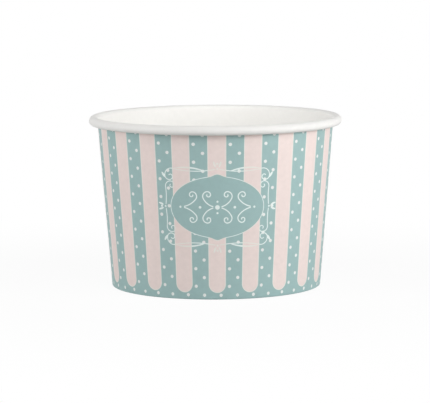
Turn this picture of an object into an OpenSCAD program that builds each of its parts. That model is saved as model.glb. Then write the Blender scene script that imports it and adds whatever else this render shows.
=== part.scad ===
// Squat paper cup: a tapered board wall with a rolled rim and a hemmed foot,
// holding a raised base disc whose skirt is clamped inside the hem.
// The axis is Z, the foot stands on z = 0 and the printed front faces -Y.

/* [Cup] */
// Outside diameter over the rolled rim
rim_d = 95; // [70:0.5:120]
// Outside diameter of the wall where it meets the table
foot_d = 78.5; // [60:0.5:88]
// Overall height
cup_h = 64; // [45:1:110]

/* [Board] */
// Thickness of the wall's board
wall_t = 0.4; // [0.25:0.05:0.6]
// Thickness of the base's board
base_t = 0.35; // [0.25:0.05:0.6]
// Gap left between two layers of board
layer_gap = 0.05; // [0.02:0.01:0.15]

/* [Rim] */
// Outside diameter of the roll at the rim
roll_d = 3.6; // [3:0.1:5]
// Gap between the turns inside the roll
roll_gap = 0.1; // [0.05:0.01:0.2]
// How far the tucked edge runs up inside the roll
tuck_turn = 100; // [30:5:150]

/* [Foot] */
// Height of the base's upper face over the table
base_h = 8; // [6:0.5:14]
// Height of the hem's free edge over the table
hem_h = 6.5; // [4:0.5:12]
// Outside radius of the folds at the foot
fold_r = 0.45; // [0.42:0.01:0.55]
// Outside radius of the bend between the base and its skirt
skirt_r = 0.7; // [0.6:0.05:1.2]

/* [Side seam] */
// Width of the lap, from the outer edge to where the layers come together
lap_w = 10; // [6:0.5:16]
// Distance between the lap's outer edge and its inner edge
lap_overlap = 6; // [3:0.5:8]
// Space between the ends of the lap and the folds above and below it
lap_end_gap = 0.4; // [0.1:0.1:1]

/* [Hidden] */

$fn = 144;
arc_step = 10;
seam_turn = 90;

// The roll is a spiral of three arcs, each step_in smaller than the last.
roll_r = roll_d / 2;
step_in = (wall_t + roll_gap) / 2;
roll_c = [rim_d / 2 - roll_r, cup_h - roll_r];
under_c = roll_c + [step_in, 0];
under_r = roll_r - step_in;
tuck_r = under_r - step_in;

// Lean of the wall from the vertical: its outer face runs from the foot to a
// line that touches the inner side of the board in the roll.
foot_r = foot_d / 2;
to_roll = roll_c - [foot_r, 0];
lean = acos((roll_r - wall_t) / norm(to_roll)) - atan2(to_roll[1], to_roll[0]);
up_wall = [sin(lean), cos(lean)];
into_cup = [-cos(lean), sin(lean)];

// Depths of the layers at the foot, counted from the wall's outer face.
skirt_in = wall_t + layer_gap;
hem_in = skirt_in + base_t + layer_gap;
hem_face = hem_in + wall_t;

// A point on the line that lies deep inside the wall's outer face, at a height.
function layer_at(deep, z) =
    let (start = [foot_r, 0] + deep * into_cup)
    start + up_wall * (z - start[1]) / up_wall[1];

// Points along an arc from one angle to another, both ends included.
function arc(centre, radius, from, to) =
    let (steps = max(1, ceil(abs(to - from) / arc_step)))
    [for (i = [0 : steps])
        let (a = from + (to - from) * i / steps)
        centre + radius * [cos(a), sin(a)]];

// Centre of a fold that touches a leaning line and a level line. side is 1 when
// the fold lies on the cup's side of the line, and -1 when it lies outside it.
function fold_centre(deep, level, radius, side) =
    layer_at(deep + side * radius, level);

// Section of the wall's board: the outside of the roll and the inside of the cup
// are one face of the board, the print and the inside of the hem are the other.
module wall_section() {
    outer_fold = fold_centre(0, fold_r, fold_r, 1);
    inner_fold = fold_centre(hem_face, fold_r, fold_r, -1);
    crease_r = fold_r - wall_t;
    polygon(concat(
        // up the inside of the cup, over the roll and into its tucked edge
        arc(roll_c, roll_r, 180 - lean, 0),
        arc(under_c, under_r, 0, -180),
        arc(roll_c, tuck_r, 180, 180 - tuck_turn),
        // back along the other face of the board
        arc(roll_c, tuck_r - wall_t, 180 - tuck_turn, 180),
        arc(under_c, under_r - wall_t, -180, 0),
        arc(roll_c, roll_r - wall_t, 0, 180 - lean),
        // down the printed face, round the foot and up the hem
        arc(outer_fold, fold_r, -lean, -90),
        arc(inner_fold, fold_r, -90, -180 - lean),
        [layer_at(hem_face, hem_h), layer_at(hem_in, hem_h)],
        // down between the layers and back up the wall
        arc(inner_fold, crease_r, -180 - lean, -90),
        arc(outer_fold, crease_r, -90, -lean)
    ));
}

// Section of the base: a level disc, a bend and a skirt along the wall.
module base_section() {
    bend = fold_centre(skirt_in, base_h - skirt_r, skirt_r, 1);
    skirt_foot = wall_t + layer_gap;
    polygon(concat(
        [[0, base_h - base_t], [0, base_h]],
        arc(bend, skirt_r, 90, -lean),
        [layer_at(skirt_in, skirt_foot), layer_at(skirt_in + base_t, skirt_foot)],
        arc(bend, skirt_r - base_t, -lean, 90)
    ));
}

// Everything within a layer of the wall, between two heights. more adds to its
// radius, and the half turn keeps the cone's own seam away from the lap.
module leaning_cone(deep, bottom, top, more = 0) {
    low_r = layer_at(deep, bottom)[0] + more;
    high_r = layer_at(deep, top)[0] + more;
    translate([0, 0, bottom])
        rotate([0, 0, 180])
            cylinder(h = top - bottom, r1 = low_r, r2 = high_r);
}

// A cone set off the axis towards +X. It stands one board outside the cone that
// lies deep inside the wall's outer face at the lap's edge, and meets it again a
// lap's width away.
module lap_cone(deep, bottom, top) {
    middle_r = layer_at(deep, (bottom + top) / 2)[0];
    lap_turn = lap_w / middle_r * 180 / PI;
    proud_r = middle_r + wall_t;
    shift = (proud_r ^ 2 - middle_r ^ 2) / (2 * (proud_r - middle_r * cos(lap_turn)));
    translate([shift, 0, 0]) leaning_cone(deep, bottom, top, wall_t - shift);
}

// The side of the cup from a distance along the wall to the end of the lap.
module lap_side(from, bottom, top) {
    translate([0, from, bottom])
        cube([rim_d, 2 * lap_w - from, top - bottom]);
}

// The outer layer of the lap, rooted in the middle of the wall's board.
module lap_outer(top) {
    bottom = fold_r + lap_end_gap;
    root = wall_t / 2;
    intersection() {
        difference() {
            lap_cone(0, bottom, top);
            leaning_cone(root, bottom, top);
        }
        lap_side(0, bottom, top);
    }
}

// The hollow that the outer layer leaves on the inside, past the inner edge.
module lap_hollow(top) {
    intersection() {
        lap_cone(wall_t, base_h, top);
        lap_side(lap_overlap, base_h, top);
    }
}

// One blank of printed board, wrapped to a cone and lapped at the back.
module sidewall() {
    lap_top = under_c[1] - under_r - lap_end_gap;
    color("#a5c6c4")
        difference() {
            union() {
                rotate_extrude() wall_section();
                rotate([0, 0, seam_turn]) lap_outer(lap_top);
            }
            rotate([0, 0, seam_turn]) lap_hollow(lap_top);
        }
}

// One disc of white board, raised over the table on its skirt.
module base_disc() {
    color("#f4f2ee")
        rotate_extrude() base_section();
}

sidewall();
base_disc();
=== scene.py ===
# %% [markdown]
# # A squat paper cup
# The cup is two pieces of coated board: a printed wall, wrapped to a cone, and a
# white base disc. The wall's top edge is rolled into a rim and its foot is folded
# round the base. The construction is loaded first, as a fixed frame in metres, and
# every piece below is built where that frame says.

import math

import bmesh
import bpy
import numpy as np
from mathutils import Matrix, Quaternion, Vector


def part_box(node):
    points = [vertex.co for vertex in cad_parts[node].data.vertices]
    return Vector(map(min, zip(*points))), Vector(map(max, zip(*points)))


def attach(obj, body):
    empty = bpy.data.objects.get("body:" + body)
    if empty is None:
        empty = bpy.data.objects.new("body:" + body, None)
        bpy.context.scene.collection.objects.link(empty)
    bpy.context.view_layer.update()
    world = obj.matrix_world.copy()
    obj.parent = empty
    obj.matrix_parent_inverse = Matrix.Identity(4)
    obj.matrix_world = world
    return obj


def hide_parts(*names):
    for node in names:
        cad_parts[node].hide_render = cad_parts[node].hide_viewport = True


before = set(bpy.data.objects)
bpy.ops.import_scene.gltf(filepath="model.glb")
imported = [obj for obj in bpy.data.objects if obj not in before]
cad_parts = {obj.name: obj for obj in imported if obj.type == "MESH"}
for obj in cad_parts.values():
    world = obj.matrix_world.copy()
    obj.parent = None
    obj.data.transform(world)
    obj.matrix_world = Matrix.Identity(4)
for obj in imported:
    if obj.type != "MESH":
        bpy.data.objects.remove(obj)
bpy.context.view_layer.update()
scene = bpy.context.scene
scene.view_settings.view_transform = "Standard"
MM = 0.001
wall_hi = np.array(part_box("sidewall")[1])

# %% [markdown]
# ## The section of the wall
# Cut through the cup and the wall is one strip of board: up the inside, over the
# roll, round into its tucked edge, back along the other face, down the print, under
# the foot and up the hem. A plain cone with a Solidify modifier could give the wall,
# but not the roll and the hem, which turn back on themselves. So the strip is drawn
# once as a closed section of lines and arcs, and carried round the axis. Its sizes are
# those of the solid that this piece stands for, and the rim and the height come from
# that solid's box.

# %% Sizes of the board
BOARD = 0.4 * MM
BASE_BOARD = 0.35 * MM
LAYER_GAP = 0.05 * MM
ROLL_R = 1.8 * MM
ROLL_GAP = 0.1 * MM
TUCK_TURN = 100
FOOT_R = 39.25 * MM
FOLD_R = 0.45 * MM
HEM_H = 6.5 * MM
BASE_H = 8.0 * MM
SKIRT_R = 0.7 * MM

rim_r = wall_hi[0]
cup_h = wall_hi[2]
roll_c = np.array([rim_r - ROLL_R, cup_h - ROLL_R])
step_in = (BOARD + ROLL_GAP) / 2
under_c = roll_c + [step_in, 0]
under_r = ROLL_R - step_in
tuck_r = under_r - step_in

to_roll = roll_c - [FOOT_R, 0]
lean = math.acos((ROLL_R - BOARD) / np.linalg.norm(to_roll)) - math.atan2(to_roll[1], to_roll[0])
LEAN = math.degrees(lean)
up_wall = np.array([math.sin(lean), math.cos(lean)])
into_cup = np.array([-math.cos(lean), math.sin(lean)])
skirt_in = BOARD + LAYER_GAP
hem_in = skirt_in + BASE_BOARD + LAYER_GAP
hem_face = hem_in + BOARD
print("wall leans", round(LEAN, 2), "degrees, roll centre at", np.round(roll_c / MM, 2))


# %% Lines and arcs of the section
def layer_at(deep, height):
    """The point at a height on the line that runs parallel to the wall, deep inside its outer face."""
    start = np.array([FOOT_R, 0.0]) + deep * into_cup
    return start + up_wall * (height - start[1]) / up_wall[1]


def arc(centre, radius, first, last, step=12):
    """Points on a circle between two angles: centre + radius * (cos, sin)."""
    count = max(2, int(math.ceil(abs(last - first) / step)) + 1)
    turn = np.radians(np.linspace(first, last, count))
    return np.array(centre) + radius * np.stack([np.cos(turn), np.sin(turn)], axis=1)


def line(start, end, count):
    """Evenly spaced points from start to end, without the two ends."""
    share = np.linspace(0, 1, count + 2)[1:-1, None]
    return np.array(start) * (1 - share) + np.array(end) * share


# %% The strip of board, as one closed loop
outer_fold = layer_at(FOLD_R, FOLD_R)
inner_fold = layer_at(hem_face - FOLD_R, FOLD_R)
crease_r = FOLD_R - BOARD
roll_start = arc(roll_c, ROLL_R, 180 - LEAN, 0)
print_top = roll_c + (ROLL_R - BOARD) * np.array([-math.cos(lean), math.sin(lean)])
print_foot = outer_fold + FOLD_R * np.array([math.cos(lean), -math.sin(lean)])
crease_top = outer_fold + crease_r * np.array([math.cos(lean), -math.sin(lean)])
hem_root = inner_fold + FOLD_R * np.array([-math.cos(lean), math.sin(lean)])
WALL_ROWS = 18
HEM_ROWS = 5
FOLD_STEP = 15
CREASE_STEP = 45

white_face = np.concatenate([
    arc(inner_fold, crease_r, -180 - LEAN, -90, CREASE_STEP),
    arc(outer_fold, crease_r, -90, -LEAN, CREASE_STEP),
    line(crease_top, roll_start[0], WALL_ROWS),
    roll_start,
    arc(under_c, under_r, 0, -180)[1:],
    arc(roll_c, tuck_r, 180, 180 - TUCK_TURN)[1:],
])
print_face = np.concatenate([
    arc(roll_c, tuck_r - BOARD, 180 - TUCK_TURN, 180),
    arc(under_c, under_r - BOARD, -180, 0)[1:],
    arc(roll_c, ROLL_R - BOARD, 0, 180 - LEAN)[1:],
    line(print_top, print_foot, WALL_ROWS),
    arc(outer_fold, FOLD_R, -LEAN, -90, FOLD_STEP),
    arc(inner_fold, FOLD_R, -90, -180 - LEAN, FOLD_STEP),
    line(hem_root, layer_at(hem_face, HEM_H), HEM_ROWS),
    [layer_at(hem_face, HEM_H)],
])
hem_back = np.concatenate([
    [layer_at(hem_in, HEM_H)],
    line(layer_at(hem_in, HEM_H), white_face[0], HEM_ROWS),
])
section = np.concatenate([white_face, print_face, hem_back])
rows = len(section)
is_print = np.zeros(rows, bool)
is_print[len(white_face):len(white_face) + len(print_face)] = True
print("the section has", rows, "points,", int(is_print.sum()), "of them on the printed face")

# %% [markdown]
# ## Columns round the cup
# The section is carried round the axis in columns. Even columns would do for a smooth
# cup, but a real one is lapped at the back, and there the surface steps by the board's
# thickness. Two pairs of columns that nearly touch keep that step sharp: one at the
# outer edge of the lap and one at the inner edge. Angles are counted from the front,
# positive to the right.

# %% Angles of the columns
COLUMNS = 576
STEP_DEG = 0.01
CLEAR_DEG = 0.1
LAP_W = 10 * MM
LAP_OVERLAP = 6 * MM
middle_r = layer_at(0, cup_h / 2)[0]
inner_edge_deg = math.degrees(LAP_OVERLAP / middle_r) - 180
even = np.linspace(-180, 180, COLUMNS, endpoint=False)[1:]
even = even[np.abs(even - inner_edge_deg) > CLEAR_DEG]
columns_deg = np.sort(np.concatenate([
    even, [-180, 180 - STEP_DEG, inner_edge_deg - STEP_DEG, inner_edge_deg + STEP_DEG]
]))
turn = np.radians(columns_deg)
cols = len(turn)
print(cols, "columns, inner edge of the lap at", round(inner_edge_deg, 2), "degrees")


# %% [markdown]
# ## The lap, the knurled hem and the board's own unevenness
# On the real cup the outer layer lies over the inner one at the lap, so the outside
# swells by one board there and ends in a step, and on the inside a hollow runs out
# past the inner edge. The hem is pressed by a knurled wheel, and board is never quite
# round. A bump in the material could hint at all this, but it wouldn't be there in the
# mesh, so it is made of small radial shifts, worked out for the whole grid at once.

# %% Radial shifts
def smooth(low, high, value):
    """A smooth step from 0 at low to 1 at high: 3 t^2 - 2 t^3."""
    t = np.clip((value - low) / (high - low), 0, 1)
    return t * t * (3 - 2 * t)


def lap_shift(degrees, face):
    """One board at the outer edge, falling as a squared cosine to nothing at the lap's width."""
    along = np.radians(degrees + 180) * middle_r
    proud = BOARD * np.cos(np.clip(along / LAP_W, 0, 1) * math.pi / 2) ** 2
    return proud if face == "outside" else np.where(along > LAP_OVERLAP, proud, 0)


# Pairs of heights between which the lap and its hollow fade in and out
roll_foot = under_c[1] - under_r
LAP_STARTS = (0.6 * MM, 1.2 * MM)
LAP_ENDS = (roll_foot - 0.65 * MM, roll_foot - 0.15 * MM)
HOLLOW_STARTS = (BASE_H, BASE_H + 2 * MM)
HOLLOW_ENDS = (44 * MM, 52 * MM)
r_row = section[:, 0][:, None]
z_row = section[:, 1][:, None]
in_hem = np.zeros(rows, bool)
in_hem[len(white_face) + len(print_face) - HEM_ROWS - 1:] = True
on_wall = ~in_hem & (section[:, 1] > FOLD_R) & (section[:, 1] < roll_foot)
lap_window = smooth(*LAP_STARTS, z_row) * (1 - smooth(*LAP_ENDS, z_row))
inside_window = smooth(*HOLLOW_STARTS, z_row) * (1 - smooth(*HOLLOW_ENDS, z_row))
shift = np.zeros((rows, cols))
shift += (on_wall & is_print)[:, None] * lap_window * lap_shift(columns_deg, "outside")
shift += (on_wall & ~is_print)[:, None] * inside_window * lap_shift(columns_deg, "inside")

KNURLS = 144
KNURL_DEPTH = 0.07 * MM
KNURL_STARTS = (1.0 * MM, 1.8 * MM)
KNURL_ENDS = (5.4 * MM, 6.0 * MM)
hem_window = smooth(*KNURL_STARTS, z_row) * (1 - smooth(*KNURL_ENDS, z_row))
shift += in_hem[:, None] * hem_window * KNURL_DEPTH * np.cos(KNURLS * turn)

# Three and five waves round the cup, the five turning with the height, and both largest
# where the base and the rim hold the board least
UNEVEN = 0.05 * MM
least_held = 0.6 * cup_h
free = smooth(BASE_H, least_held, z_row) * (1 - 0.5 * smooth(least_held, cup_h, z_row))
shift += UNEVEN * free * (np.sin(3 * turn + 0.7) + 0.5 * np.sin(5 * turn + z_row * 40))
print("radial shifts in mm, least and most:", np.round([shift.min() / MM, shift.max() / MM], 3))

# %% [markdown]
# ## A grid becomes a mesh
# Rows and columns are both closed loops here, so the wall is one watertight ring with
# no seam and no pole. Its points and faces are whole arrays, and foreach_set hands
# them to Blender at once. Two UV maps go with it: one lays the whole strip of board
# out flat, and the other holds the place on the artwork, in millimetres, so that a
# pattern can be drawn on the print as on paper.


# %% Mesh helpers
def ring_faces(row_count, col_count):
    """Quads between neighbouring rows and columns of a grid that closes both ways, as corner indices."""
    i, j = np.meshgrid(np.arange(row_count), np.arange(col_count), indexing="ij")
    i, j = i.ravel(), j.ravel()
    i2, j2 = (i + 1) % row_count, (j + 1) % col_count
    start, start2 = i * col_count, i2 * col_count
    return np.stack([start + j, start + j2, start2 + j2, start2 + j], axis=1), i, j


def new_mesh(name, points, quads):
    """A mesh object from an array of points and an array of quads, shaded smooth."""
    mesh = bpy.data.meshes.new(name)
    mesh.vertices.add(len(points))
    mesh.vertices.foreach_set("co", np.ascontiguousarray(points, dtype=np.float32).ravel())
    mesh.loops.add(quads.size)
    mesh.loops.foreach_set("vertex_index", quads.astype(np.int32).ravel())
    mesh.polygons.add(len(quads))
    mesh.polygons.foreach_set("loop_start", np.arange(0, quads.size, quads.shape[1], dtype=np.int32))
    mesh.update(calc_edges=True)
    mesh.polygons.foreach_set("use_smooth", np.ones(len(quads), bool))
    piece = bpy.data.objects.new(name, mesh)
    scene.collection.objects.link(piece)
    return piece


def set_uv(piece, name, corner_uv):
    """A UV map from an array with one (u, v) for each corner of each face."""
    layer = piece.data.uv_layers.new(name=name)
    layer.uv.foreach_set("vector", np.ascontiguousarray(corner_uv, dtype=np.float32).ravel())


# %% The wall's grid
radius = r_row + shift
wall_points = np.stack(
    [radius * np.sin(turn), -radius * np.cos(turn), np.broadcast_to(z_row, radius.shape)], axis=2
).reshape(-1, 3)
quads, quad_row, quad_col = ring_faces(rows, cols)
wall = new_mesh("printed_wall", wall_points, quads)
print("wall:", len(quads), "quads")

# %% [markdown]
# ## Where the artwork lies
# Twenty stripes go round the cup. At the front they stand slightly closer together
# than at the back, so the place on the artwork is the angle plus a small sine. Down
# the wall the artwork is measured along the board, so it runs on under the foot. The
# blank was printed slightly askew: the artwork lies a little higher on the left and
# lower on the right, which is another small sine.

# %% UV maps of the wall
STRIPES = 20
CLOSER = 0.085
PITCH = 12.85
SLANT = 0.2
EVEN_SHARE = 0.998
to_next = np.linalg.norm(np.roll(section, -1, axis=0) - section, axis=1)
run = np.concatenate([[0], np.cumsum(to_next)])
art_x = PITCH * (STRIPES * columns_deg / 360 + CLOSER * np.sin(turn))
slant = SLANT * np.sin(turn)
foot_row = len(white_face) + int(np.argmin(np.abs(print_face - print_foot).sum(axis=1)))
art_y = (run[foot_row] - run[:-1]) * math.cos(lean) / MM + print_foot[1] / MM

next_row, next_col = (quad_row + 1) % rows, (quad_col + 1) % cols
u = np.append((columns_deg + 180) / 360 * EVEN_SHARE, 1.0)
v = run / run[-1]
flat_uv = np.stack([
    np.stack([u[quad_col], v[quad_row]], axis=1),
    np.stack([u[quad_col + 1], v[quad_row]], axis=1),
    np.stack([u[quad_col + 1], v[quad_row + 1]], axis=1),
    np.stack([u[quad_col], v[quad_row + 1]], axis=1),
], axis=1)
art_uv = np.stack([
    np.stack([art_x[quad_col], art_y[quad_row] + slant[quad_col]], axis=1),
    np.stack([art_x[next_col], art_y[quad_row] + slant[next_col]], axis=1),
    np.stack([art_x[next_col], art_y[next_row] + slant[next_col]], axis=1),
    np.stack([art_x[quad_col], art_y[next_row] + slant[quad_col]], axis=1),
], axis=1)
set_uv(wall, "OFBake", flat_uv)
set_uv(wall, "artwork", art_uv)

at_edge = quad_col == cols - 1
printed = is_print[quad_row] & is_print[next_row] & ~at_edge
wall.data.polygons.foreach_set("material_index", np.where(printed, 0, 1).astype(np.int32))
wall.data.update()
art_ends = np.round([art_y[is_print].min(), art_y[is_print].max()], 1)
print("the artwork runs from", art_ends[0], "to", art_ends[1], "mm")

# %% [markdown]
# ## The base disc
# The base is a second blank: a disc whose edge is turned down as a skirt, which the hem
# clamps. A flat cylinder would do from above, but from below the bend and the foot of
# the skirt show, so this section is carried round the axis too. Its first and last
# rows lie on the axis as rings of no size, and are merged to a point each.

# %% Section of the base
base_bend = layer_at(skirt_in + SKIRT_R, BASE_H - SKIRT_R)
skirt_foot = BOARD + LAYER_GAP
BASE_RINGS = 14
base_section = np.concatenate([
    [[0, BASE_H]],
    line([0, BASE_H], [base_bend[0], BASE_H], BASE_RINGS),
    arc(base_bend, SKIRT_R, 90, -LEAN),
    [layer_at(skirt_in, skirt_foot), layer_at(skirt_in + BASE_BOARD, skirt_foot)],
    arc(base_bend, SKIRT_R - BASE_BOARD, -LEAN, 90),
    line([base_bend[0], BASE_H - BASE_BOARD], [0, BASE_H - BASE_BOARD], BASE_RINGS),
    [[0, BASE_H - BASE_BOARD]],
])
BASE_COLUMNS = 240
base_turn = np.linspace(-math.pi, math.pi, BASE_COLUMNS, endpoint=False)
base_r, base_z = base_section[:, 0][:, None], base_section[:, 1][:, None]
DISH = 0.25 * MM
dish = DISH * (1 - smooth(0, base_bend[0], base_r)) * np.ones_like(base_turn)
base_points = np.stack(
    [base_r * np.sin(base_turn), -base_r * np.cos(base_turn), base_z - dish], axis=2
).reshape(-1, 3)
base_quads, _, _ = ring_faces(len(base_section), BASE_COLUMNS)
base_quads = base_quads[:-BASE_COLUMNS]
base = new_mesh("raised_base", base_points, base_quads)
print("base:", len(base_quads), "quads")

# %% Close the two points on the axis
MERGE_WITHIN = 1e-6
work = bmesh.new()
work.from_mesh(base.data)
bmesh.ops.remove_doubles(work, verts=work.verts, dist=MERGE_WITHIN)
bmesh.ops.recalc_face_normals(work, faces=work.faces)
work.to_mesh(base.data)
work.free()
base.data.update()
print("base closed, with", len(base.data.vertices), "points")

# %% [markdown]
# ## Drawing the artwork with numbers
# The print is fields of flat colour. A picture could be wrapped round the wall, but it
# would blur close up. Here each shape is a distance in millimetres, negative inside,
# worked out from the place on the artwork. Distances give crisp edges at any size, and
# an outline is only a band of distance. A few helpers keep the node trees short: one
# adds a math node, one mixes two colours, one makes an edge.

# %% Node helpers
EDGE = 0.05


def linear(red, green, blue):
    """A colour in 0 to 255 as a screen shows it, turned to the linear values of a shader."""
    c = np.array([red, green, blue]) / 255
    c = np.where(c <= 0.04045, c / 12.92, ((c + 0.055) / 1.055) ** 2.4)
    return (*c.tolist(), 1.0)


class Drawing:
    """A node tree with short calls for sums, distances and layers of colour."""

    def __init__(self, tree):
        self.tree = tree

    def node(self, kind, **settings):
        """A new node of a kind, with its settings."""
        made = self.tree.nodes.new(kind)
        for key, value in settings.items():
            setattr(made, key, value)
        return made

    def put(self, value, socket):
        """A link if the value is a socket, else the socket's own value."""
        if isinstance(value, bpy.types.NodeSocket):
            self.tree.links.new(value, socket)
        else:
            socket.default_value = value

    def math(self, operation, *values):
        """The result of one math node."""
        made = self.node("ShaderNodeMath", operation=operation)
        for value, socket in zip(values, made.inputs):
            self.put(value, socket)
        return made.outputs[0]

    def fold(self, value, period, start=0.0):
        """value - start, brought into the half period on either side of 0."""
        moved = self.math("SUBTRACT", value, start)
        return self.math("WRAP", moved, period / 2, -period / 2)

    def length(self, x, y):
        """The square root of x^2 + y^2."""
        squares = self.math("ADD", self.math("MULTIPLY", x, x), self.math("MULTIPLY", y, y))
        return self.math("SQRT", squares)

    def inside(self, distance):
        """1 where a distance is negative, 0 where it is positive, with a soft edge."""
        made = self.node("ShaderNodeMapRange", interpolation_type="SMOOTHSTEP")
        for value, name in ((distance, "Value"), (EDGE, "From Min"), (-EDGE, "From Max")):
            self.put(value, made.inputs[name])
        return made.outputs["Result"]

    def layer(self, share, below, above):
        """One colour laid over another, where the share is 1."""
        made = self.node("ShaderNodeMix", data_type="RGBA")
        self.put(share, made.inputs["Factor"])
        self.put(below, made.inputs["A"])
        self.put(above, made.inputs["B"])
        return made.outputs["Result"]


def new_material(name):
    """A material, the drawing on its node tree and its shader."""
    material = bpy.data.materials.new(name)
    material.use_nodes = True
    return material, Drawing(material.node_tree), material.node_tree.nodes["Principled BSDF"]


# %% [markdown]
# ## Scrolls from arcs
# The frame round the medallion and the ornament in it are pen strokes. Thin curves
# could be laid on the wall, but ink has no thickness, so the strokes are drawn in the
# material too. A stroke is a chain of arcs: one node group measures the distance to
# one arc, and a curl is a few arcs whose radius shrinks. The medallion is the same in
# all four quarters, so only one quarter is drawn, on x and y without their signs.


# %% One arc of a stroke
TINY = 0.0001
STOP_STEEP = 100.0


def stroke_group():
    """Node group: half the pen's width minus the distance to an arc, thinning to its ends if asked."""
    group = bpy.data.node_groups.new("pen_arc", "ShaderNodeTree")
    for name, kind in (
        ("X", "NodeSocketFloat"), ("Y", "NodeSocketFloat"), ("Centre X", "NodeSocketFloat"),
        ("Centre Y", "NodeSocketFloat"), ("Radius", "NodeSocketFloat"), ("Toward X", "NodeSocketFloat"),
        ("Toward Y", "NodeSocketFloat"), ("Reach", "NodeSocketFloat"), ("Half width", "NodeSocketFloat"),
        ("Taper", "NodeSocketFloat"),
    ):
        group.interface.new_socket(name=name, in_out="INPUT", socket_type=kind)
    group.interface.new_socket(name="Ink", in_out="OUTPUT", socket_type="NodeSocketFloat")
    pen = Drawing(group)
    given = pen.node("NodeGroupInput").outputs
    x = pen.math("SUBTRACT", given["X"], given["Centre X"])
    y = pen.math("SUBTRACT", given["Y"], given["Centre Y"])
    out = pen.math("MAXIMUM", pen.length(x, y), TINY)
    off = pen.math("ABSOLUTE", pen.math("SUBTRACT", out, given["Radius"]))
    along_x = pen.math("MULTIPLY", x, given["Toward X"])
    along_y = pen.math("MULTIPLY", y, given["Toward Y"])
    along = pen.math("DIVIDE", pen.math("ADD", along_x, along_y), out)
    within = pen.math("SUBTRACT", along, given["Reach"])
    share = pen.math("DIVIDE", within, pen.math("SUBTRACT", 1 + TINY, given["Reach"]))
    thin = pen.math("POWER", pen.math("MAXIMUM", share, 0.0), given["Taper"])
    width = pen.math("MULTIPLY", given["Half width"], thin)
    stop = pen.math("MINIMUM", pen.math("MULTIPLY", within, STOP_STEEP), 0.0)
    ink = pen.math("ADD", pen.math("SUBTRACT", width, off), stop)
    tree_out = pen.node("NodeGroupOutput")
    group.links.new(ink, tree_out.inputs["Ink"])
    return group


pen_arc = stroke_group()
print("nodes in one arc:", len(pen_arc.nodes))


def pen_line(point, heading, turns, width, taper=0.0):
    """A chain of arcs from a point and heading. Each turn is (radius, sweep), and a radius
    below 0 turns right. An arc is (centre x, centre y, radius, middle, half sweep, width, taper)."""
    strokes = []
    x, y = point
    for radius, sweep in turns:
        hand = math.copysign(1, radius)
        side = math.radians(heading + 90)
        cx, cy = x + radius * math.cos(side), y + radius * math.sin(side)
        first = heading - 90 * hand
        strokes.append((cx, cy, abs(radius), first + hand * sweep / 2, sweep / 2, width, taper))
        last = math.radians(first + hand * sweep)
        x, y = cx + abs(radius) * math.cos(last), cy + abs(radius) * math.sin(last)
        heading += hand * sweep
    return strokes


CURL_ARCS = 4
CURL_SWEEP = 110
CURL_SHRINK = 0.64


def volute(radius):
    """The turns of a curl that winds in: each arc's radius is a fixed share of the one before."""
    return [(radius * CURL_SHRINK**k, CURL_SWEEP) for k in range(CURL_ARCS)]


def draw_strokes(pen, x, y, strokes, pearls):
    """Distance to the nearest stroke or pearl, below 0 on the ink."""
    ink = -1.0
    for cx, cy, radius, middle, half, width, taper in strokes:
        made = pen.node("ShaderNodeGroup")
        made.node_tree = pen_arc
        toward, reach = math.radians(middle), math.cos(math.radians(half))
        values = (x, y, cx, cy, radius, math.cos(toward), math.sin(toward), reach, width, taper)
        for value, socket in zip(values, made.inputs):
            pen.put(value, socket)
        ink = pen.math("MAXIMUM", ink, made.outputs["Ink"])
    distance = pen.math("MULTIPLY", -1.0, ink)
    for cx, cy, radius in pearls:
        out = pen.length(pen.math("SUBTRACT", x, cx), pen.math("SUBTRACT", y, cy))
        distance = pen.math("MINIMUM", distance, pen.math("SUBTRACT", out, radius))
    return distance


# %% [markdown]
# ## The printed board
# Teal is the ground, with pale dots in staggered rows. Pink stripes with a thin cream
# outline lie over it, from the rim to a round end above the foot. The medallion lies
# over the stripes at the front: a teal oval drawn out to a point above and below, a
# scroll frame round it and a scroll ornament in the middle. Sizes of the print are in
# millimetres on the artwork, counted from the front and up from the table.

# %% Colours and places of the print
TEAL = linear(163, 193, 192)
PINK = linear(242, 226, 221)
CREAM = linear(242, 238, 231)
SCROLL = linear(240, 250, 247)
DOT = linear(240, 243, 240)
WHITE = linear(244, 243, 240)

STRIPE_HALF = 3.3
STRIPE_END = 2.5
OUTLINE = 0.25
DOT_R = 0.62
DOT_ROW = 6.54
DOT_COLUMN = PITCH / 4
DOT_START = (0.1135 * PITCH, 1.65)
MEDALLION = (0.15, 34.2)
OVAL = (17.4, 11.4)
TIP = 0.9
TIP_W = 1.9
print("stripes are", 2 * STRIPE_HALF, "mm wide, one every", PITCH, "mm")


# %% Stripes and dots
def draw_ground(pen, x, y):
    """Teal with staggered dots, then pink stripes with a cream outline and round lower ends.
    Gives the colour and the share of stripe, 1 on a stripe and 0 beside it."""
    colour = TEAL
    near = []
    for k in (0, 1):
        dx = pen.fold(x, 2 * DOT_COLUMN, DOT_START[0] + k * DOT_COLUMN)
        dy = pen.fold(y, DOT_ROW, DOT_START[1] + k * DOT_ROW / 2)
        near.append(pen.length(dx, dy))
    dots = pen.inside(pen.math("SUBTRACT", pen.math("MINIMUM", *near), DOT_R))
    colour = pen.layer(dots, colour, DOT)
    across = pen.fold(x, PITCH)
    below = pen.math("MAXIMUM", pen.math("SUBTRACT", STRIPE_END + STRIPE_HALF, y), 0.0)
    stripe = pen.math("SUBTRACT", pen.length(across, below), STRIPE_HALF)
    on_stripe = pen.inside(stripe)
    colour = pen.layer(on_stripe, colour, CREAM)
    return pen.layer(pen.inside(pen.math("ADD", stripe, OUTLINE)), colour, PINK), on_stripe


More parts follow.
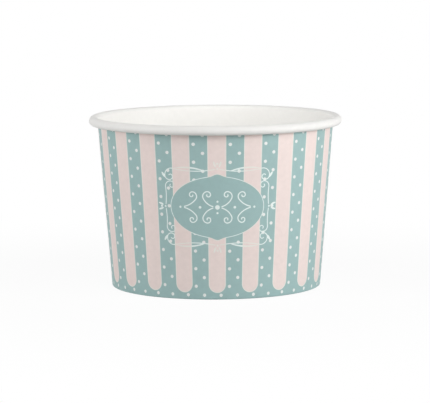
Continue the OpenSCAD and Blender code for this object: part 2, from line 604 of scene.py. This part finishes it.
def oval_distance(pen, x, y, half):
    """Near distance to an ellipse with half axes a and b: k (k - 1) / m, where k is the
    length of (x/a, y/b) and m the length of (x/a^2, y/b^2)."""
    k = pen.length(pen.math("DIVIDE", x, half[0]), pen.math("DIVIDE", y, half[1]))
    m = pen.length(pen.math("DIVIDE", x, half[0] ** 2), pen.math("DIVIDE", y, half[1] ** 2))
    over = pen.math("MULTIPLY", k, pen.math("SUBTRACT", k, 1.0))
    return pen.math("DIVIDE", over, pen.math("MAXIMUM", m, TINY))


# %% The medallion
PEN = 0.17
FRAME_STROKES = (
    pen_line((1.0, 13.9), -11, [(38.0, 23), *volute(-2.5)], PEN)
    + pen_line((19.2, 0.9), 98, [(-26.0, 14), *volute(1.9)], PEN)
    + pen_line((4.2, 13.2), 20, [(-22.0, 30)], 0.3, 0.6)
    + pen_line((18.9, 10.6), 45, [(8.0, 18)], 0.42, 0.6)
    + pen_line((0.55, 14.7), 60, [(6.0, 22)], 0.36, 0.6)
    + pen_line((20.2, 0.5), 30, [(-6.0, 20)], 0.36, 0.6)
)
FRAME_PEARLS = [(0, 16.0, 0.42), (20.9, 0, 0.42), (0, 14.1, 0.36), (19.4, 0, 0.36)]
ORNAMENT_STROKES = (
    pen_line((1.5, 0.25), 15, [(5.6, 50), *volute(1.75)], 0.21)
    + pen_line((12.2, 0.2), 168, [(-7.5, 40), *volute(-1.7)], 0.21)
)
ORNAMENT_PEARLS = [(0, 0, 0.85), (6.3, 0, 0.5), (13.6, 0, 0.42), (0, 2.1, 0.4)]
print("arcs in a quarter:", len(FRAME_STROKES), "in the frame,", len(ORNAMENT_STROKES), "in the ornament")


def draw_medallion(pen, x, y, colour, on_stripe):
    """Frame lines, then the teal oval with its outline, then the ornament in it. The thin
    pale ink takes on the ground: cooler over teal, warmer over the stripes."""
    pale = pen.layer(on_stripe, SCROLL, CREAM)
    x = pen.math("ABSOLUTE", pen.math("SUBTRACT", x, MEDALLION[0]))
    y = pen.math("ABSOLUTE", pen.math("SUBTRACT", y, MEDALLION[1]))
    scrolls = draw_strokes(pen, x, y, FRAME_STROKES, FRAME_PEARLS)
    colour = pen.layer(pen.inside(scrolls), colour, pale)
    from_middle = pen.math("MULTIPLY", -1 / TIP_W**2, pen.math("MULTIPLY", x, x))
    tip = pen.math("MULTIPLY", TIP, pen.math("EXPONENT", from_middle))
    oval = oval_distance(pen, x, pen.math("SUBTRACT", y, tip), OVAL)
    colour = pen.layer(pen.inside(oval), colour, pale)
    colour = pen.layer(pen.inside(pen.math("ADD", oval, OUTLINE)), colour, TEAL)
    ornament = draw_strokes(pen, x, y, ORNAMENT_STROKES, ORNAMENT_PEARLS)
    return pen.layer(pen.inside(ornament), colour, SCROLL)


# %% [markdown]
# ## Paper under the ink
# Coated board isn't a flat colour: its fibres leave a faint mottle and a fine tooth,
# and the coating gives a soft sheen. They are too fine to model, so two noise textures
# give them, one in the colour and one in the bump. Both materials share that surface.


# %% Board surface
CLOUD_SCALE = 600.0
CLOUD_DETAIL = 4.0
CLOUD_RANGE = (0.3, 0.7)
TOOTH_SCALE = 2600.0
TOOTH_DETAIL = 3.0
TOOTH_STRENGTH = 0.08
TOOTH_DEPTH = 0.05 * MM
SHEEN = 0.25


def board_surface(pen, shader, colour, mottle, roughness):
    """Faint mottle in the colour, fine tooth in the bump and a soft sheen from the roughness."""
    place = pen.node("ShaderNodeTexCoord").outputs["Object"]
    cloud = pen.node("ShaderNodeTexNoise")
    pen.put(place, cloud.inputs["Vector"])
    pen.put(CLOUD_SCALE, cloud.inputs["Scale"])
    pen.put(CLOUD_DETAIL, cloud.inputs["Detail"])
    value = pen.node("ShaderNodeMapRange")
    pen.put(cloud.outputs["Fac"], value.inputs["Value"])
    pen.put(CLOUD_RANGE[0], value.inputs["From Min"])
    pen.put(CLOUD_RANGE[1], value.inputs["From Max"])
    pen.put(1.0 - mottle, value.inputs["To Min"])
    pen.put(1.0 + mottle, value.inputs["To Max"])
    tone = pen.node("ShaderNodeHueSaturation")
    pen.put(colour, tone.inputs["Color"])
    pen.put(value.outputs["Result"], tone.inputs["Value"])
    pen.put(tone.outputs["Color"], shader.inputs["Base Color"])
    tooth = pen.node("ShaderNodeTexNoise")
    pen.put(place, tooth.inputs["Vector"])
    pen.put(TOOTH_SCALE, tooth.inputs["Scale"])
    pen.put(TOOTH_DETAIL, tooth.inputs["Detail"])
    bump = pen.node("ShaderNodeBump")
    pen.put(TOOTH_STRENGTH, bump.inputs["Strength"])
    pen.put(TOOTH_DEPTH, bump.inputs["Distance"])
    pen.put(tooth.outputs["Fac"], bump.inputs["Height"])
    pen.put(bump.outputs["Normal"], shader.inputs["Normal"])
    shader.inputs["Roughness"].default_value = roughness
    shader.inputs["Specular IOR Level"].default_value = SHEEN


# %% The two materials
print_mat, print_pen, print_shader = new_material("printed_board")
art = print_pen.node("ShaderNodeUVMap", uv_map="artwork")
split = print_pen.node("ShaderNodeSeparateXYZ")
print_pen.put(art.outputs["UV"], split.inputs["Vector"])
art_place = split.outputs["X"], split.outputs["Y"]
ink = draw_medallion(print_pen, *art_place, *draw_ground(print_pen, *art_place))
board_surface(print_pen, print_shader, ink, mottle=0.025, roughness=0.5)

white_mat, white_pen, white_shader = new_material("white_board")
board_surface(white_pen, white_shader, WHITE, mottle=0.012, roughness=0.45)
wall.data.materials.append(print_mat)
wall.data.materials.append(white_mat)
base.data.materials.append(white_mat)
print("nodes in the print:", len(print_mat.node_tree.nodes))

# %% Tie the pieces to the frame
for piece, node, slot in ((wall, "sidewall", "printed_board"), (base, "base_disc", "white_board")):
    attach(piece, "root")
    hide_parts(node)
    print(piece.name, "stands for", node)

# %% [markdown]
# ## Studio
# The photograph is a product shot on white. Soft lamps stand on both sides, the right
# one a little stronger, with a broad one in front, a faint one high on the left and a
# small one low behind the cup. The inside would stay grey under these: real board lets
# some light through, and this board is opaque. A strong lamp from high up could reach
# in, but it would bleach the ends of the rim. So a weak spot lamp hangs over the
# opening, and its cone ends inside the rim. The floor is pale, so it sends light up
# under the rim, and it keeps a faint shadow. The sky that the camera sees is white.


# %% White where the camera looks
def seen_directly(pen):
    """1 for camera, glossy and transmission rays, 0 for the light that bounces."""
    path = pen.node("ShaderNodeLightPath").outputs
    seen = pen.math("MAXIMUM", path["Is Camera Ray"], path["Is Glossy Ray"])
    return pen.math("MAXIMUM", seen, path["Is Transmission Ray"])


def white_where_seen(pen, lit, white, share):
    """A mix of a lit shader and plain white, where only rays that see directly get the white."""
    mix = pen.node("ShaderNodeMixShader")
    pen.put(pen.math("MULTIPLY", seen_directly(pen), share), mix.inputs["Fac"])
    pen.put(lit, mix.inputs[1])
    pen.put(white, mix.inputs[2])
    return mix.outputs["Shader"]


# %% Floor
FLOOR_HALF = 3.0
FLOOR_SIDE = 3
grid = np.linspace(-FLOOR_HALF, FLOOR_HALF, FLOOR_SIDE)
floor_x, floor_y = np.meshgrid(grid, grid)
floor_points = np.stack([floor_x.ravel(), floor_y.ravel(), np.zeros(floor_x.size)], axis=1)
corner = np.arange(FLOOR_SIDE**2).reshape(FLOOR_SIDE, FLOOR_SIDE)[:-1, :-1].ravel()
far = corner + FLOOR_SIDE
floor_quads = np.stack([corner, corner + 1, far + 1, far], axis=1)
floor = new_mesh("floor", floor_points, floor_quads)
floor_mat, floor_pen, floor_shader = new_material("pale_floor")
FLOOR_BOUNCE = linear(195, 195, 195)
FLOOR_SEEN = linear(252, 252, 252)
SHADOW_SHARE = 0.07
SHADOW_REACH = (0.06, 0.22)
floor_place = floor_pen.node("ShaderNodeTexCoord").outputs["Object"]
from_cup = floor_pen.node("ShaderNodeVectorMath", operation="LENGTH")
floor_pen.put(floor_place, from_cup.inputs[0])
floor_white = floor_pen.node("ShaderNodeMapRange", interpolation_type="SMOOTHSTEP")
floor_pen.put(from_cup.outputs["Value"], floor_white.inputs["Value"])
floor_pen.put(SHADOW_REACH[0], floor_white.inputs["From Min"])
floor_pen.put(SHADOW_REACH[1], floor_white.inputs["From Max"])
floor_pen.put(1 - SHADOW_SHARE, floor_white.inputs["To Min"])
floor_colour = floor_pen.layer(seen_directly(floor_pen), FLOOR_BOUNCE, FLOOR_SEEN)
floor_pen.put(floor_colour, floor_shader.inputs["Base Color"])
floor_shader.inputs["Roughness"].default_value = 0.9
floor_shader.inputs["Specular IOR Level"].default_value = 0.0
glow = floor_pen.node("ShaderNodeEmission")
glow.inputs["Strength"].default_value = 1.0
floor_surface = white_where_seen(
    floor_pen, floor_shader.outputs["BSDF"], glow.outputs["Emission"], floor_white.outputs["Result"]
)
floor_pen.put(floor_surface, floor_mat.node_tree.nodes["Material Output"].inputs["Surface"])
floor.data.materials.append(floor_mat)

# %% World
SKY = 0.2
world = bpy.data.worlds.new("studio")
world.use_nodes = True
scene.world = world
sky = Drawing(world.node_tree)
around = world.node_tree.nodes["Background"]
around.inputs["Color"].default_value = (1, 1, 1, 1)
around.inputs["Strength"].default_value = SKY
white = sky.node("ShaderNodeBackground")
white.inputs["Color"].default_value = (1, 1, 1, 1)
white.inputs["Strength"].default_value = 1.0
sky_surface = white_where_seen(sky, around.outputs["Background"], white.outputs["Background"], 1.0)
sky.put(sky_surface, world.node_tree.nodes["World Output"].inputs["Surface"])


# %% Lamps
def soft_lamp(name, place, size, watts):
    """A square area lamp that faces the middle of the cup. Its place and size are in metres."""
    data = bpy.data.lights.new(name, "AREA")
    data.size = size
    data.energy = watts
    lamp = bpy.data.objects.new(name, data)
    scene.collection.objects.link(lamp)
    lamp.location = place
    away = np.array(place) - [0, 0, cup_h / 2]
    lamp.rotation_euler = (
        math.acos(away[2] / np.linalg.norm(away)), 0, math.atan2(away[1], away[0]) + math.pi / 2
    )


def round_about(azimuth, away, up):
    """A place round the cup: degrees from the front, positive to the right, and metres out and up."""
    around_cup = math.radians(azimuth)
    return away * math.sin(around_cup), -away * math.cos(around_cup), up


soft_lamp("right", round_about(62, away=0.45, up=0.15), size=0.2, watts=1.06)
soft_lamp("left", round_about(-68, away=0.45, up=0.15), size=0.2, watts=0.82)
soft_lamp("front", round_about(22, away=0.5, up=0.36), size=0.35, watts=0.94)
soft_lamp("top left", round_about(-62, away=0.4, up=0.5), size=0.3, watts=0.26)
soft_lamp("behind", round_about(180, away=0.32, up=0.022), size=0.04, watts=0.4)

# %% The lamp over the opening
# Height and radius in metres, power in watts, and the share of the cone that fades out
FILL_H = 0.15
FILL_R = 0.01
FILL_WATTS = 0.16
FILL_BLEND = 0.15
mouth_r, mouth_h = roll_start[0]
fill_data = bpy.data.lights.new("over the opening", "SPOT")
fill_data.energy = FILL_WATTS
fill_data.shadow_soft_size = FILL_R
fill_data.spot_size = 2 * math.atan(mouth_r / (FILL_H - mouth_h))
fill_data.spot_blend = FILL_BLEND
fill = bpy.data.objects.new("over the opening", fill_data)
scene.collection.objects.link(fill)
fill.location = 0, 0, FILL_H
print("the cone into the cup is", round(math.degrees(fill_data.spot_size), 1), "degrees wide")

# %% [markdown]
# ## Camera
# A long lens from one metre, a little above the rim. Its height, distance and slight
# tilt were worked out from the outline of the rim, the sides and the foot. The lens and
# the sensor are in millimetres, as on a camera, and the distance is in metres.

# %% The camera
LENS = 222.6
SENSOR = 36
DISTANCE = 1.003
HEIGHT_DEG = 6.88
SIDE_DEG = -0.55
TILT_DEG = -0.29
LOOK_AT = np.array([-0.33, 0.0, 31.25]) * MM
STANDS_ROUND = np.array([0, 0, 32.0]) * MM
height, side = math.radians(HEIGHT_DEG), math.radians(SIDE_DEG)
stand = STANDS_ROUND + DISTANCE * np.array([
    math.cos(height) * math.sin(side), -math.cos(height) * math.cos(side), math.sin(height)
])
back = stand - LOOK_AT
camera_data = bpy.data.cameras.new("camera")
camera_data.lens = LENS
camera_data.sensor_width = SENSOR
camera = bpy.data.objects.new("camera", camera_data)
scene.collection.objects.link(camera)
camera.location = stand
aim = Vector(back).to_track_quat("Z", "Y")
tilt = Quaternion((0, 0, 1), math.radians(TILT_DEG))
camera.rotation_mode = "QUATERNION"
camera.rotation_quaternion = aim @ tilt
scene.camera = camera
print("camera stands at", np.round(stand / MM, 1).tolist(), "mm")
